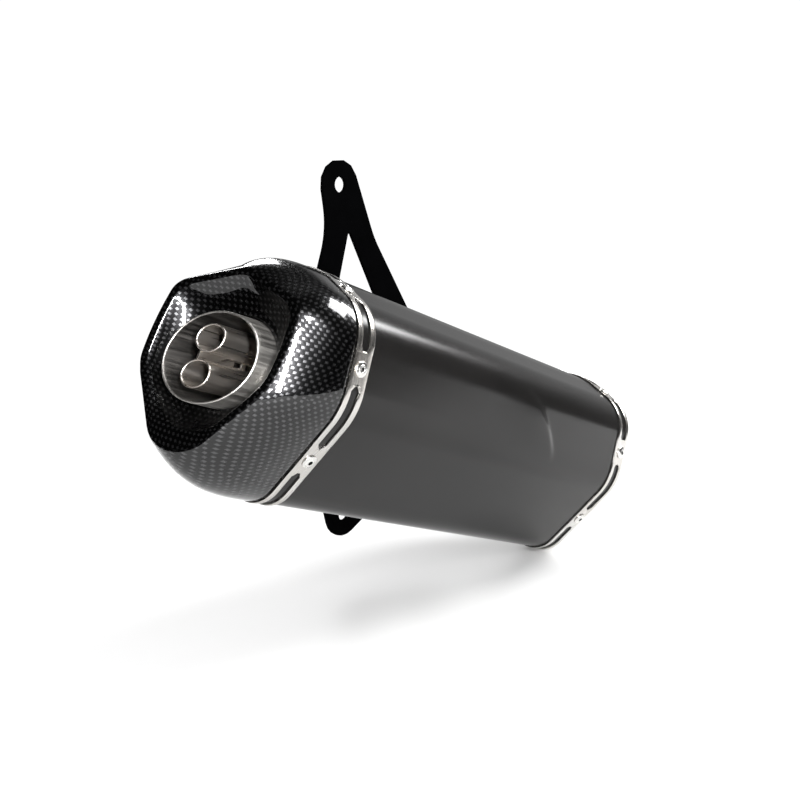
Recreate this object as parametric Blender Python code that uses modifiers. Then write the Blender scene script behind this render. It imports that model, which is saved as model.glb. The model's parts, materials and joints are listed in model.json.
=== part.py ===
"""Racing exhaust silencer for a scooter, every piece a separate solid at its real size, in metres.

The pieces are laid out in a section frame: +X runs along the silencer from the outlet towards the inlet,
+Y points inboard to the bracket, +Z points up across the section, and the origin is where the slash-cut rim
of the outlet tube crosses the tube's axis. An empty then pitches that frame as the silencer is installed,
outlet high and inlet low, and sets the object down with its footprint centred on the world origin.
"""

import math

import bmesh
import bpy
from mathutils import Matrix, Vector

MM = 0.001

# Attitude and the slash plane that cuts the outlet tube, its inner pipes and the end cap's rim.
PITCH = math.radians(19.8)
RAKE_Y = -0.348
RAKE_Z = 0.216

# Clearances
GAP = 0.3 * MM
RUNNING_GAP = 0.5 * MM

# Body section: (Y, Z, corner radius) of the sleeve's outer face, from the top round one side to the bottom.
BODY_HALF = [(0.0, 74.5, 52.0), (57.3, 43.9, 32.0), (57.3, -11.8, 40.0), (0.0, -92.7, 23.0)]
# The end cap's rim, seen along the silencer, in the same order; its upright sides bow outwards by RIM_BOW.
CREST_HALF = [(0.0, 56.0, 10.0), (38.6, 40.5, 9.0), (39.8, -12.0, 24.0), (0.0, -75.5, 22.0)]
CORNER_STEPS = 5

# Sleeve, bands and their rivets
SLEEVE_T = 1.2 * MM
BAND_T = 1.0 * MM
BAND_W = 14.0 * MM
SLOT_W = 7.4 * MM
LAND_L = 19.0 * MM
FRONT_BAND_X = 61.0 * MM
REAR_BAND_X = 373.5 * MM
BAND_OVERLAP = 0.4 * MM
RIVET_HEAD_R = 4.8 * MM
RIVET_HEAD_H = 1.5 * MM
RIVET_R = 2.4 * MM
RIVET_BORE_R = 1.3 * MM
RIVET_L = 5.5 * MM
RIVET_SIDES = 10

# End cap
CAP_T = 1.8 * MM
CAP_SKIRT_L = 13.0 * MM
SKIRT_INSET = SLEEVE_T + 0.5 * MM
CAP_HOLE_DEPTH = 14.0 * MM
RIM_BOW = 2.4 * MM
RIM_FACE_W = 3.8 * MM
# How full the end cap's dome is: the power of the height by which it draws in.
CAP_DOME = 3.3

# Outlet
TUBE_R = 27.8 * MM
TUBE_T = 1.2 * MM
TUBE_SIDES = 36
TIP_R = 8.7 * MM
TIP_T = 1.0 * MM
TIP_SIDES = 20
TIP_Y = 4.1 * MM
TIP_RISE = 10.9 * MM
TIP_END_X = 128.0 * MM
WEB_T = 1.5 * MM
WEB_Y = TIP_Y + 2.5 * MM
WEB_END_X = 84.0 * MM
TUBE_END_X = 106.0 * MM
OUTLET_BAFFLE_X = 52.0 * MM
FRONT_BAFFLE_X = 110.0 * MM
MID_BAFFLE_X = 196.0 * MM
BULKHEAD_X = 70.5 * MM
SHEET_T = 1.5 * MM
PRESSED_T = 1.2 * MM

# Inlet
PIPE_R = 22.5 * MM
PIPE_T = 1.5 * MM
PIPE_START_X = 360.0 * MM
PIPE_END_X = 441.0 * MM
CAP_NECK_X = 400.0 * MM
# How full the pressed cap is, as for the end cap.
INLET_DOME = 3.0
CORE_R = 22.5 * MM
CORE_T = 1.0 * MM
SEAL_L = 18.0 * MM
SEAL_T = 1.4 * MM
SEAL_X = PIPE_START_X + 30.0 * MM
CLAMP_T = 1.4 * MM
CLAMP_W = 14.0 * MM
CLAMP_X = 431.0 * MM
CLAMP_GAP = 9.0 * MM
EAR_R = 38.0 * MM
SCREW_AT_R = 31.5 * MM
SCREW_R = 3.0 * MM
SCREW_HEAD_R = 5.0 * MM
SCREW_HEAD_H = 6.0 * MM
SCREW_SOCKET_R = 1.6 * MM
SCREW_SOCKET_DEPTH = 3.0 * MM
SCREW_REACH = 9.0 * MM
NUT_R = 5.8 * MM
NUT_H = 5.0 * MM
SLIT_W = 2.0 * MM
SLIT_L = 18.0 * MM
CLAMP_TURN = math.radians(50)

# Mounting bracket, on the inboard side
PLATE_Y = 62.0 * MM
PLATE_T = 3.0 * MM
PLATE_HOLE_R = 5.5 * MM
UPPER_EYE = (127.0, 144.5)
LOWER_EYE = (207.5, -79.5)
FIXINGS = [(143.0, 15.0), (246.0, 12.0)]
BOLT_R = 4.0 * MM
BOSS_R = 10.0 * MM
BOSS_NECK_R = 6.0 * MM
BOSS_DEPTH = 5.0 * MM
WASHER_R = 8.5 * MM
WASHER_T = 1.6 * MM
BOLT_HEAD_R = 6.8 * MM
BOLT_HEAD_H = 6.0 * MM
BOLT_SOCKET_R = 2.2 * MM
BOLT_SOCKET_DEPTH = 3.5 * MM


# ---------------------------------------------------------------- outlines


def scaled(numbers):
    """Corners given in millimetres, in metres."""
    return [tuple(value * MM for value in corner) for corner in numbers]


def hexagon(half):
    """All six corners of a section from its half: down the +Y side, then up the -Y side."""
    mirrored = [(-y, z, radius) for y, z, radius in half[-2:0:-1]]
    return scaled(half + mirrored)


def shrunk(corners, distance):
    """The corners of the outline that lies `distance` inside (or outside, if negative)."""
    moved = []
    for i, (a, b, radius) in enumerate(corners):
        here = Vector((a, b))
        last = (Vector(corners[i - 1][:2]) - here).normalized()
        following = (Vector(corners[(i + 1) % len(corners)][:2]) - here).normalized()
        half = last.angle(following) / 2
        spot = here + (last + following).normalized() * distance / math.sin(half)
        moved.append((spot.x, spot.y, radius - distance))
    return moved


def rounded(corners, steps=CORNER_STEPS, flats=1):
    """A closed outline through corners (a, b, radius), each rounded by an arc of `steps` segments, with
    each straight stretch between them in `flats` parts."""
    points = []
    for i, (a, b, radius) in enumerate(corners):
        here = Vector((a, b))
        last = (Vector(corners[i - 1][:2]) - here).normalized()
        following = (Vector(corners[(i + 1) % len(corners)][:2]) - here).normalized()
        half = last.angle(following) / 2
        centre = here + (last + following).normalized() * radius / math.sin(half)
        start = here + last * radius / math.tan(half) - centre
        turn = math.copysign(math.pi - 2 * half, -last.cross(following))
        for k in range(steps + 1):
            points.append(centre + Matrix.Rotation(turn * k / steps, 2) @ start)
    outline = []
    for k, point in enumerate(points):
        parts = flats if k % (steps + 1) == steps else 1
        step = (points[(k + 1) % len(points)] - point) / parts
        outline += [point + step * part for part in range(parts)]
    return outline


def formed(corners):
    """The outline that the pressed and moulded caps are lofted from."""
    return rounded(corners, 3, 3)


def belt(circles, steps=6):
    """An outline like a belt round pulleys (a, b, radius), run anticlockwise; a negative radius is a
    pulley outside it, which makes a hollow bend."""
    joints = []
    for i, (a, b, radius) in enumerate(circles):
        c, d, other = circles[(i + 1) % len(circles)]
        span = Vector((c - a, d - b))
        heading = math.atan2(span.y, span.x) + math.asin((radius - other) / span.length)
        joints.append(heading)
    points = []
    for i, (a, b, radius) in enumerate(circles):
        start = joints[i - 1]
        turn = math.remainder(joints[i] - start, math.tau)
        for k in range(steps + 1):
            heading = start + turn * k / steps
            points.append(Vector((a + radius * math.sin(heading), b - radius * math.cos(heading))))
    return points


def circle(radius, sides, centre=(0.0, 0.0)):
    angles = [math.tau * k / sides for k in range(sides)]
    return [Vector((centre[0] + radius * math.cos(t), centre[1] + radius * math.sin(t))) for t in angles]


def rake(y, z):
    """How far along the silencer the slash plane lies at (y, z)."""
    return RAKE_Y * y + RAKE_Z * z


BODY = hexagon(BODY_HALF)
CREST = hexagon(CREST_HALF)


# ---------------------------------------------------------------- scene and materials


def clear_scene():
    for obj in list(bpy.data.objects):
        bpy.data.objects.remove(obj, do_unlink=True)


def collection(name):
    made = bpy.data.collections.new(name)
    bpy.context.scene.collection.children.link(made)
    return made


def material(name, colour, roughness, metallic):
    made = bpy.data.materials.new(name)
    made.use_nodes = True
    shader = made.node_tree.nodes["Principled BSDF"]
    shader.inputs["Base Color"].default_value = (*colour, 1.0)
    shader.inputs["Roughness"].default_value = roughness
    shader.inputs["Metallic"].default_value = metallic
    made.diffuse_color = (*colour, 1.0)
    return made


clear_scene()
SILENCER = collection("racing_silencer")
CUTTERS = collection("cutters")

CARBON = material("carbon_gloss", (0.03, 0.03, 0.032), 0.15, 0.0)
STEEL = material("brushed_steel", (0.72, 0.71, 0.69), 0.28, 1.0)
COATED = material("black_coated_steel", (0.06, 0.06, 0.062), 0.35, 0.4)
BLACK = material("black_powder_coat", (0.02, 0.02, 0.02), 0.5, 0.2)
WOOL = material("mineral_wool", (0.75, 0.7, 0.5), 0.95, 0.0)
GRAPHITE = material("graphite_seal", (0.1, 0.1, 0.1), 0.7, 0.1)

installed = bpy.data.objects.new("installed_attitude", None)
SILENCER.objects.link(installed)
installed.rotation_euler = (0.0, PITCH, 0.0)

# Turn a flat outline's own axes (across, up, thickness) into the section frame.
ACROSS_SECTION = Matrix(((0, 0, 1, 0), (1, 0, 0, 0), (0, 1, 0, 0), (0, 0, 0, 1)))
ALONG_SIDE = Matrix(((1, 0, 0, 0), (0, 0, -1, 0), (0, 1, 0, 0), (0, 0, 0, 1)))


# ---------------------------------------------------------------- shape makers


def new_object(name, mesh, look, target=SILENCER):
    obj = bpy.data.objects.new(name, mesh)
    target.objects.link(obj)
    obj.parent = installed
    if look is not None:
        mesh.materials.clear()
        mesh.materials.append(look)
    return obj


def shade(mesh, degrees=35):
    mesh.shade_smooth()
    mesh.set_sharp_from_angle(angle=math.radians(degrees))


def plate(name, loops, low, high, turn, look):
    """A flat outline with openings (the loops after the first), extruded from `low` to `high`."""
    curve = bpy.data.curves.new(name + "_outline", "CURVE")
    curve.dimensions = "2D"
    curve.fill_mode = "BOTH"
    curve.extrude = (high - low) / 2
    for loop in loops:
        spline = curve.splines.new("POLY")
        spline.points.add(len(loop) - 1)
        for point, spot in zip(spline.points, loop):
            point.co = (spot[0], spot[1], 0.0, 1.0)
        spline.use_cyclic_u = True
    guide = bpy.data.objects.new(name + "_outline", curve)
    bpy.context.scene.collection.objects.link(guide)
    graph = bpy.context.evaluated_depsgraph_get()
    mesh = bpy.data.meshes.new_from_object(guide.evaluated_get(graph))
    bpy.data.objects.remove(guide, do_unlink=True)
    mesh.name = name
    shape = bmesh.new()
    shape.from_mesh(mesh)
    bmesh.ops.remove_doubles(shape, verts=shape.verts, dist=1e-7)
    bmesh.ops.recalc_face_normals(shape, faces=shape.faces)
    shape.to_mesh(mesh)
    shape.free()
    mesh.transform(turn @ Matrix.Translation((0, 0, (low + high) / 2)))
    shade(mesh)
    return new_object(name, mesh, look)


def across(name, loops, start, end, look):
    """A plate or tube whose outline lies across the section, from X `start` to X `end`."""
    return plate(name, loops, start, end, ACROSS_SECTION, look)


def slash(obj, start):
    """Moves the end of a tube that lies at X `start` onto the slash plane."""
    for vertex in obj.data.vertices:
        if abs(vertex.co.x - start) < 0.01 * MM:
            vertex.co.x = rake(vertex.co.y, vertex.co.z)
    return obj


def skin(name, rings, thickness, look):
    """A sheet through rings of equal length, in order from the outlet's end, thickened inwards."""
    shape = bmesh.new()
    rows = [[shape.verts.new(point) for point in ring] for ring in rings]
    for row, following in zip(rows, rows[1:]):
        for k in range(len(row)):
            corner = (row[k - 1], following[k - 1], following[k], row[k])
            shape.faces.new(corner)
    mesh = bpy.data.meshes.new(name)
    shape.to_mesh(mesh)
    shape.free()
    shade(mesh)
    obj = new_object(name, mesh, look)
    thicken(obj, thickness, -1.0)
    return obj


def thicken(obj, thickness, side):
    solidify = obj.modifiers.new("sheet", "SOLIDIFY")
    solidify.thickness = thickness
    solidify.offset = side
    solidify.use_even_offset = True
    solidify.use_quality_normals = True
    return solidify


def turned_mesh(name, profile, sides):
    """A mesh turned about its own Z axis from a profile of (radius, height), top to bottom outside."""
    shape = bmesh.new()
    points = [shape.verts.new((radius, 0.0, height)) for radius, height in profile]
    for first, second in zip(points, points[1:] + points[:1]):
        shape.edges.new((first, second))
    bmesh.ops.spin(
        shape,
        geom=shape.verts[:] + shape.edges[:],
        axis=(0, 0, 1),
        cent=(0, 0, 0),
        steps=sides,
        angle=math.tau,
        use_duplicate=False,
    )
    bmesh.ops.remove_doubles(shape, verts=shape.verts, dist=1e-6)
    bmesh.ops.recalc_face_normals(shape, faces=shape.faces)
    mesh = bpy.data.meshes.new(name)
    shape.to_mesh(mesh)
    shape.free()
    shade(mesh)
    return mesh


def pointing(spot, direction):
    """A matrix that stands a turned piece at `spot` with its Z axis along `direction`."""
    return Matrix.Translation(spot) @ Vector(direction).to_track_quat("Z", "Y").to_matrix().to_4x4()


def cylinder_cutter(name, radius, length, matrix, sides=12):
    """A round cutter centred on the matrix's origin, along its Z axis, turned a little about it so that no
    corner falls exactly on a middle line of the piece that it cuts."""
    matrix = matrix @ Matrix.Rotation(math.radians(7), 4, "Z")
    shape = bmesh.new()
    bmesh.ops.create_cone(
        shape, cap_ends=True, segments=sides, radius1=radius, radius2=radius, depth=length
    )
    return finish_cutter(name, shape, matrix)


def box_cutter(name, size, matrix):
    shape = bmesh.new()
    bmesh.ops.create_cube(shape, size=1.0)
    bmesh.ops.scale(shape, vec=size, verts=shape.verts)
    return finish_cutter(name, shape, matrix)


def finish_cutter(name, shape, matrix):
    mesh = bpy.data.meshes.new(name)
    shape.to_mesh(mesh)
    shape.free()
    cutter = new_object(name, mesh, None, CUTTERS)
    cutter.matrix_local = matrix
    cutter.hide_render = True
    cutter.display_type = "WIRE"
    return cutter


def cut(obj, cutters):
    for cutter in cutters:
        boolean = obj.modifiers.new("cut_" + cutter.name, "BOOLEAN")
        boolean.operation = "DIFFERENCE"
        boolean.object = cutter


# ---------------------------------------------------------------- bands and rivets


def facet_middles(corners):
    """The middle of each facet's flat stretch and the facet's outward normal, as (Y, Z) pairs."""
    loop = rounded(corners)
    count = len(corners)
    found = []
    for i in range(count):
        end = loop[i * (CORNER_STEPS + 1) + CORNER_STEPS]
        start = loop[((i + 1) % count) * (CORNER_STEPS + 1)]
        run = (start - end).normalized()
        found.append(((start + end) / 2, Vector((-run.y, run.x))))
    return found


def slot_half_width(from_end, round_ends):
    """Half the width of a band's slot at a distance from the slot's nearer end."""
    full = SLOT_W / 2
    if from_end < 0.05 * MM:
        return 0.0
    if from_end >= full:
        return full
    part = from_end / full
    return full * (math.sqrt(1 - (1 - part) ** 2) if round_ends else part)


def band_columns(loop, middles, round_ends):
    """(point, slot half width) round the band: the outline's own points and those that shape the slots."""
    lengths = [0.0]
    for k, point in enumerate(loop):
        lengths.append(lengths[-1] + (loop[(k + 1) % len(loop)] - point).length)
    total = lengths[-1]

    def place(distance):
        distance %= total
        k = max(i for i in range(len(loop)) if lengths[i] <= distance)
        step = loop[(k + 1) % len(loop)] - loop[k]
        return loop[k] + step * ((distance - lengths[k]) / step.length)

    def detour(k, point):
        """How much longer it is to go past the point than straight along segment k."""
        start, end = loop[k], loop[(k + 1) % len(loop)]
        return (point - start).length + (end - point).length - (end - start).length

    def distance_of(point):
        k = min(range(len(loop)), key=lambda i: detour(i, point))
        return lengths[k] + (point - loop[k]).length

    centres = sorted(distance_of(point) for point in middles)
    shares = (0.0, 0.2, 0.55, 1.0) if round_ends else (0.0, 0.55, 1.0)
    stations = [(length, True) for length in lengths[:-1]]
    for i, centre in enumerate(centres):
        start = centre + LAND_L / 2
        end = (centres[i + 1] if i + 1 < len(centres) else centres[0] + total) - LAND_L / 2
        for share in shares:
            stations.append(((start + share * SLOT_W / 2) % total, False))
            stations.append(((end - share * SLOT_W / 2) % total, False))
    stations.sort()
    kept = []
    for length, own in stations:
        crowded = [other for other, _ in stations if 0 < abs(other - length) < 0.8 * MM]
        if own and crowded:
            continue
        kept.append(length)
    columns = []
    for length in kept:
        off = min(abs(math.remainder(length - centre, total)) for centre in centres)
        columns.append((place(length), slot_half_width(off - LAND_L / 2, round_ends)))
    return columns


def band(name, middle_x, round_ends):
    """A strap round the section: two rails that meet on the riveted lands and part around the slots."""
    corners = shrunk(BODY, -GAP)
    middles = [point for point, _ in facet_middles(corners)]
    columns = band_columns(rounded(corners), middles, round_ends)
    shape = bmesh.new()
    rows = []
    for point, half in columns:
        low = shape.verts.new((middle_x - BAND_W / 2, *point))
        high = shape.verts.new((middle_x + BAND_W / 2, *point))
        near = shape.verts.new((middle_x - half, *point))
        far = shape.verts.new((middle_x + half, *point)) if half else near
        rows.append((low, near, far, high))
    for k, row in enumerate(rows):
        last = rows[k - 1]
        shape.faces.new((last[0], last[1], row[1], row[0]))
        shape.faces.new((last[2], last[3], row[3], row[2]))
    mesh = bpy.data.meshes.new(name)
    shape.to_mesh(mesh)
    shape.free()
    shade(mesh)
    obj = new_object(name, mesh, STEEL)
    thicken(obj, BAND_T, 1.0)
    return obj


def rivet_frames(middle_x):
    """A matrix for each rivet, standing on the band's outer face at the middle of a facet."""
    face = shrunk(BODY, -GAP - BAND_T)
    frames = []
    for point, normal in facet_middles(face):
        frames.append(pointing((middle_x, *point), (0.0, *normal)))
    return frames


def rivets(prefix, frames):
    """Open blind rivets: a domed flange on the band and a hollow shank through the layers below."""
    profile = [
        (RIVET_BORE_R, GAP + RIVET_HEAD_H),
        (RIVET_R, GAP + RIVET_HEAD_H),
        (0.85 * RIVET_HEAD_R, GAP + 0.55 * RIVET_HEAD_H),
        (RIVET_HEAD_R, GAP),
        (RIVET_R, GAP),
        (RIVET_R, -RIVET_L),
        (RIVET_BORE_R, -RIVET_L),
    ]
    mesh = turned_mesh(prefix, profile, RIVET_SIDES)
    mesh.materials.append(STEEL)
    for number, frame in enumerate(frames, 1):
        rivet = new_object(f"{prefix}_{number}", mesh, None)
        rivet.matrix_local = frame


def rivet_cutters(prefix, frames):
    radius = RIVET_R + GAP
    return [
        cylinder_cutter(f"{prefix}_hole_{number}", radius, 4 * RIVET_L, frame)
        for number, frame in enumerate(frames, 1)
    ]


# ---------------------------------------------------------------- end cap and outlet


def ring_at(loop, x):
    return [(x, point[0], point[1]) for point in loop]


def raked_ring(loop, depth):
    return [(rake(point[0], point[1]) + depth, point[0], point[1]) for point in loop]


def bowed(loop):
    """The rim's outline with its upright sides bowed outwards."""
    high, low = (corner[1] * MM for corner in CREST_HALF[1:3])
    middle, half = (high + low) / 2, (high - low) / 2 + 2 * MM
    bows = [RIM_BOW * max(0.0, 1 - ((point.y - middle) / half) ** 2) for point in loop]
    return [Vector((point.x + math.copysign(bow, point.x), point.y)) for point, bow in zip(loop, bows)]


def domed(foot, top, height, power):
    """The ring at a `height` of 0 to 1 up a dome from `foot` to `top`, which draws in by a power of height."""
    shares = (height, height**power, height**power)
    ring = []
    for low, high in zip(foot, top):
        ring.append(tuple(a + (b - a) * share for a, b, share in zip(low, high, shares)))
    return ring


def blended(first, second, share):
    return [tuple(a + (b - a) * share for a, b in zip(p, q)) for p, q in zip(first, second)]


def make_end_cap():
    """The moulded cap: a skirt under the band, a domed flank, the raked hexagonal rim and the funnel."""
    skirt = formed(shrunk(BODY, SKIRT_INSET))
    flush_x = FRONT_BAND_X - BAND_W / 2
    foot = ring_at(skirt, flush_x)
    crest = raked_ring(bowed(formed(CREST)), 0.0)
    rings = [ring_at(skirt, FRONT_BAND_X + CAP_SKIRT_L / 2), foot]
    rings += [domed(foot, crest, height, CAP_DOME) for height in (0.3, 0.5, 0.67, 0.8, 0.91)]
    rings.append(crest)
    rings.append(raked_ring(bowed(formed(shrunk(CREST, RIM_FACE_W))), 0.3 * MM))
    inner = bowed(formed(shrunk(CREST, RIM_FACE_W + 1.2 * MM)))
    hole_r = TUBE_R + GAP + 0.4 * MM
    hole = [Vector((y, z)).normalized() * hole_r for y, z in inner]
    lip = [Vector((y, z)).normalized() * (hole_r + 2.5 * MM) for y, z in inner]
    rings.append(raked_ring(inner, 2.0 * MM))
    rings.append(blended(raked_ring(inner, 2.0 * MM), raked_ring(lip, CAP_HOLE_DEPTH - 2.0 * MM), 0.6))
    rings.append(raked_ring(lip, CAP_HOLE_DEPTH - 1.0 * MM))
    rings.append(raked_ring(hole, CAP_HOLE_DEPTH + 1.5 * MM))
    return skin("end_cap", rings[::-1], CAP_T, CARBON)


def make_outlet():
    """The slash-cut outlet tube, the two pipes inside it and the sheets that hold them."""
    loops = [circle(TUBE_R, TUBE_SIDES), circle(TUBE_R - TUBE_T, TUBE_SIDES)]
    slash(across("outlet_tube", loops, -30 * MM, TUBE_END_X, STEEL), -30 * MM)
    centres = {"upper_tip_pipe": (TIP_Y, TIP_RISE), "lower_tip_pipe": (TIP_Y, -TIP_RISE)}
    for name, centre in centres.items():
        loops = [circle(TIP_R, TIP_SIDES, centre), circle(TIP_R - TIP_T, TIP_SIDES, centre)]
        slash(across(name, loops, -30 * MM, TIP_END_X, STEEL), -30 * MM)
    holes = [circle(TIP_R + GAP, TIP_SIDES, centre) for centre in centres.values()]
    ring = circle(TUBE_R - TUBE_T - GAP, TUBE_SIDES)
    across("outlet_baffle", [ring] + holes, OUTLET_BAFFLE_X, OUTLET_BAFFLE_X + SHEET_T, STEEL)
    make_tip_web()
    wall = rounded(shrunk(BODY, SLEEVE_T + RUNNING_GAP))
    tube_hole = circle(TUBE_R + GAP, TUBE_SIDES)
    across("outlet_bulkhead", [wall, tube_hole], BULKHEAD_X, BULKHEAD_X + SHEET_T, STEEL)
    across("front_baffle", [wall] + holes, FRONT_BAFFLE_X, FRONT_BAFFLE_X + SHEET_T, STEEL)


def make_tip_web():
    """The upright sheet between the two inner pipes, with its two windows."""
    reach = math.sqrt((TIP_R + GAP) ** 2 - (WEB_Y + WEB_T / 2 - TIP_Y) ** 2)
    half = TIP_RISE - reach - 0.15 * MM
    start = RAKE_Y * WEB_Y
    lean = RAKE_Z * half
    end = OUTLET_BAFFLE_X - GAP
    edge = [(start - lean, -half), (end, -half), (end, half), (start + lean, half)]
    windows = []
    for near, far in ((24, 30), (33, 47)):
        low, high = -half + 0.9 * MM, half - 0.9 * MM
        windows.append([(near * MM, low), (far * MM, low), (far * MM, high), (near * MM, high)])
    plate("tip_web", [edge] + windows, -WEB_Y - WEB_T / 2, -WEB_Y + WEB_T / 2, ALONG_SIDE, STEEL)


# ---------------------------------------------------------------- body and insides


def make_sleeve(cutters):
    start = FRONT_BAND_X - BAND_W / 2 + BAND_OVERLAP
    end = REAR_BAND_X + BAND_W / 2 - BAND_OVERLAP
    loops = [rounded(BODY), rounded(shrunk(BODY, SLEEVE_T))]
    cut(across("sleeve", loops, start, end, COATED), cutters)


def make_insides():
    """The baffle, the perforated core and the wool packed round it."""
    wall = rounded(shrunk(BODY, SLEEVE_T + RUNNING_GAP))
    core_hole = circle(CORE_R - 3 * MM, TUBE_SIDES)
    end = MID_BAFFLE_X + SHEET_T
    across("mid_baffle", [wall, core_hole], MID_BAFFLE_X, end, STEEL)
    loops = [circle(CORE_R, TUBE_SIDES), circle(CORE_R - CORE_T, TUBE_SIDES)]
    core_end = PIPE_START_X - GAP
    core = across("perforated_core", loops, end + GAP, core_end, STEEL)
    rows, per_row = 4, 3
    cutters = []
    for row in range(rows):
        x = end + (core_end - end) * (row + 1) / (rows + 1)
        for k in range(per_row):
            angle = math.pi * (k + row / 2) / per_row
            direction = (0.0, math.cos(angle), math.sin(angle))
            matrix = pointing((x, 0, 0), direction)
            cutters.append(cylinder_cutter(f"core_hole_{row}_{k}", 3.5 * MM, 3 * CORE_R, matrix, 6))
    cut(core, cutters)
    packing = [rounded(shrunk(BODY, 8 * MM)), circle(CORE_R + RUNNING_GAP, TUBE_SIDES)]
    across("wool_packing", packing, end + 1 * MM, core_end - 2 * MM, WOOL)


def make_inlet_cap(cutters):
    """The pressed cap at the inlet: a skirt under the band, a dome and a neck round the pipe."""
    skirt = formed(shrunk(BODY, SKIRT_INSET))
    edge_x = REAR_BAND_X + BAND_W / 2
    neck_r = PIPE_R + 0.8 * MM + PRESSED_T
    neck = [Vector((y, z)).normalized() * neck_r for y, z in skirt]
    rings = [ring_at(neck, CAP_NECK_X + 6 * MM), ring_at(neck, CAP_NECK_X - 1 * MM)]
    foot = ring_at(skirt, edge_x - 1 * MM)
    top = ring_at(neck, CAP_NECK_X - 3 * MM)
    rings += [domed(foot, top, height, INLET_DOME) for height in (0.94, 0.8, 0.5)]
    rings.append(foot)
    rings.append(ring_at(skirt, REAR_BAND_X - BAND_W / 2))
    cut(skin("inlet_cap", rings[::-1], PRESSED_T, STEEL), cutters)


def make_inlet_pipe():
    """The inlet socket, slit at its end so that the clamp can close it, and the seal inside."""
    loops = [circle(PIPE_R, TUBE_SIDES), circle(PIPE_R - PIPE_T, TUBE_SIDES)]
    pipe = across("inlet_pipe", loops, PIPE_START_X, PIPE_END_X, STEEL)
    slits = []
    for k in range(2):
        turn = Matrix.Rotation(math.radians(45 + 90 * k), 4, "X")
        matrix = Matrix.Translation((PIPE_END_X, 0, 0)) @ turn
        slits.append(box_cutter(f"inlet_slit_{k}", (2 * SLIT_L, SLIT_W, 3 * PIPE_R), matrix))
    cut(pipe, slits)
    seal_r = PIPE_R - PIPE_T - GAP
    loops = [circle(seal_r, TUBE_SIDES), circle(seal_r - SEAL_T, TUBE_SIDES)]
    across("inlet_seal", loops, SEAL_X, SEAL_X + SEAL_L, GRAPHITE)


def make_clamp():
    """The band clamp round the inlet, its screw and its nut, with the ears turned inboard and up."""
    inner = PIPE_R + RUNNING_GAP
    outer = inner + CLAMP_T
    half = CLAMP_GAP / 2
    back = half + CLAMP_T
    sides = 40

    def arc(radius, offset, direction):
        first = math.asin(offset / radius)
        span = math.tau - 2 * first
        angles = [first + span * k / sides for k in range(sides + 1)]
        return [(radius * math.cos(t), radius * math.sin(t)) for t in angles][::direction]

    ears = [(EAR_R, -back), (EAR_R, -half)]
    loop = arc(outer, back, 1) + ears + arc(inner, half, -1) + [(a, -b) for a, b in ears[::-1]]
    turn = Matrix.Rotation(CLAMP_TURN, 2)
    loop = [turn @ Vector(point) for point in loop]
    clamp = across("clamp_band", [loop], CLAMP_X - CLAMP_W / 2, CLAMP_X + CLAMP_W / 2, STEEL)
    spot = turn @ Vector((SCREW_AT_R, 0))
    direction = turn @ Vector((0, 1))
    along = pointing((CLAMP_X, *spot), (0, *direction))
    cut(clamp, [cylinder_cutter("clamp_screw_hole", SCREW_R + 0.6 * MM, 30 * MM, along, 16)])
    head_low = back + GAP
    head_high = head_low + SCREW_HEAD_H
    tip = -back - SCREW_REACH
    profile = [
        (SCREW_SOCKET_R, head_high - SCREW_SOCKET_DEPTH),
        (SCREW_SOCKET_R + 1 * MM, head_high),
        (SCREW_HEAD_R, head_high),
        (SCREW_HEAD_R, head_low),
        (SCREW_R, head_low),
        (SCREW_R, tip),
        (0.0, tip),
        (0.0, head_high - SCREW_SOCKET_DEPTH),
    ]
    mesh = turned_mesh("clamp_screw", profile, 16)
    screw = new_object("clamp_screw", mesh, STEEL)
    screw.matrix_local = along
    nut_loops = [circle(NUT_R, 6), circle(SCREW_R + 0.4 * MM, 16)]
    nut_face = -back - GAP
    nut = plate("clamp_nut", nut_loops, nut_face - NUT_H, nut_face, Matrix.Identity(4), STEEL)
    nut.matrix_local = along


# ---------------------------------------------------------------- bracket


def fixing_frames():
    """A matrix at each bolt that holds the bracket, on the sleeve's inboard face, pointing inboard."""
    face_y = BODY_HALF[1][0] * MM
    return [pointing((x * MM, face_y, z * MM), (0, 1, 0)) for x, z in FIXINGS]


def make_bracket():
    """The flat two-legged bracket with its upper and lower eyes."""
    upper, lower = UPPER_EYE, LOWER_EYE
    outer = belt(
        scaled(
            [
                (*upper, 17.0),
                (66.0, 96.0, -60.0),
                (142.0, 14.0, 16.0),
                (*lower, 17.0),
                (256.0, -32.0, 14.0),
                (243.0, 46.0, 18.0),
                (225.6, 180.2, -80.0),
            ]
        )
    )
    between_legs = [(145.0, 119.0, 2.0), (150.0, 36.0, 5.0), (220.0, 34.0, 5.0), (220.0, 52.0, 5.0)]
    below_legs = [(168.0, -8.0, 5.0), (203.0, -58.0, 5.0), (241.0, -26.0, 5.0), (237.0, -8.0, 5.0)]
    windows = [rounded(scaled(corners)) for corners in (between_legs, below_legs)]
    holes = [circle(PLATE_HOLE_R, 20, (x * MM, z * MM)) for x, z in (upper, lower)]
    holes += [circle(BOLT_R + GAP, 16, (x * MM, z * MM)) for x, z in FIXINGS]
    loops = [outer] + windows + holes
    plate("bracket_plate", loops, -PLATE_Y - PLATE_T, -PLATE_Y, ALONG_SIDE, BLACK)


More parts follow.
